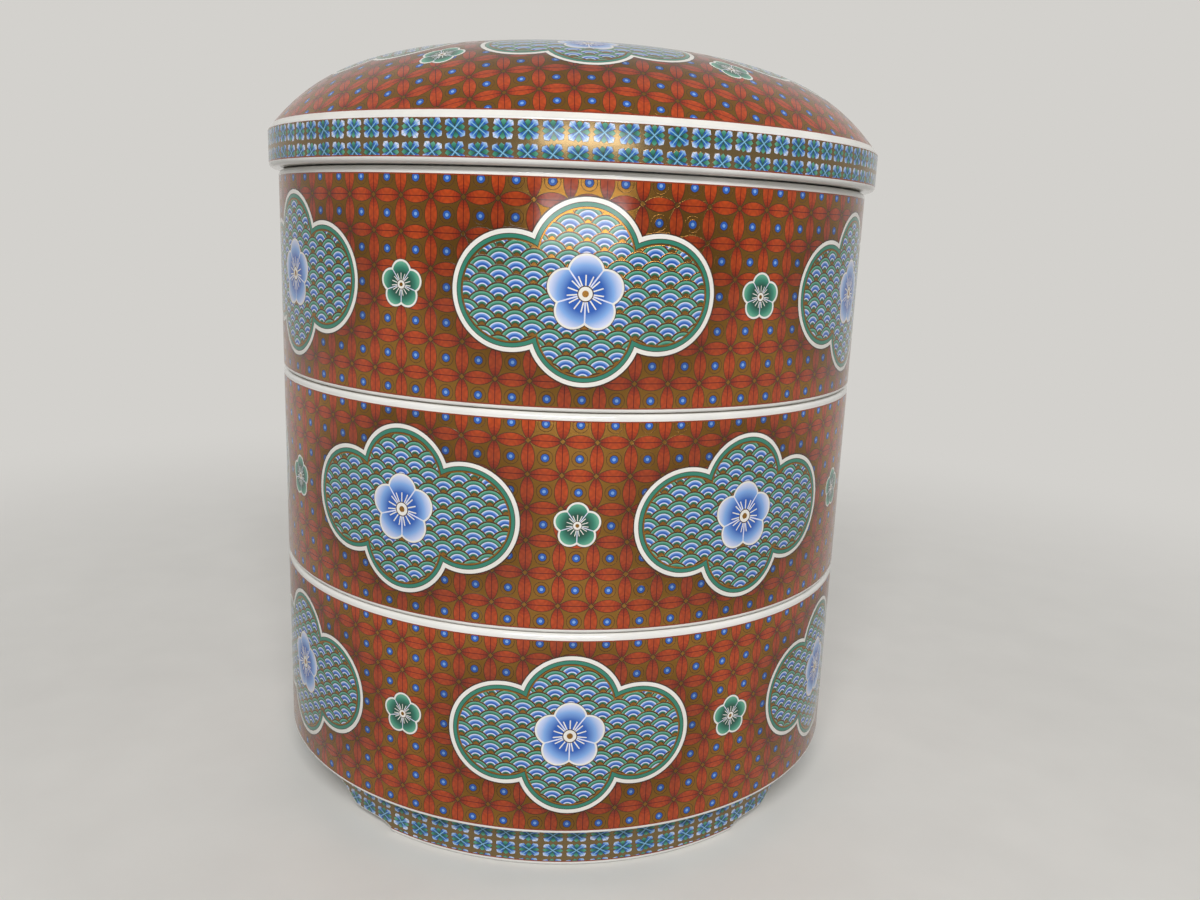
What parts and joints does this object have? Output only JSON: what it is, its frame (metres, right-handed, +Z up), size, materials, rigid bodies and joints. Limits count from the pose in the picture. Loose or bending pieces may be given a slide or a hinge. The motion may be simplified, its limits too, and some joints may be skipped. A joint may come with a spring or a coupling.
{
  "type": "jubako",
  "caption": "Round stacked porcelain food box: a footed bottom box, nesting upper boxes and a domed lid, all loose, with overglaze enamel and gold decoration.",
  "frame": {"origin": "on the stack's axis, on the surface that the foot stands on", "axes": "+Z up along the stack's axis, -Y towards the viewer with one foot bracket in the middle of the front, +X to the viewer's right"},
  "size_m": [0.1648, 0.1648, 0.1991],
  "materials": {
    "decorated_porcelain": "glossy clear glaze over white porcelain, with red, blue and green overglaze enamel and gold outside",
    "lid_porcelain": "glossy clear glaze over white porcelain, with red, blue and green overglaze enamel and gold outside"
  },
  "bodies": {
    "bottom_tier": {"bottom_tier": "decorated_porcelain"},
    "middle_tier": {"middle_tier": "decorated_porcelain"},
    "top_tier": {"top_tier": "decorated_porcelain"},
    "lid": {"lid": "lid_porcelain"}
  },
  "joints": [
    {"name": "middle_tier_lift", "type": "slide", "parent": "bottom_tier", "child": "middle_tier", "axis": [0, 0, 1], "range_m": [0, 0.08]},
    {"name": "top_tier_lift", "type": "slide", "parent": "middle_tier", "child": "top_tier", "axis": [0, 0, 1], "range_m": [0, 0.08]},
    {"name": "lid_lift", "type": "slide", "parent": "top_tier", "child": "lid", "axis": [0, 0, 1], "range_m": [0, 0.08]}
  ]
}
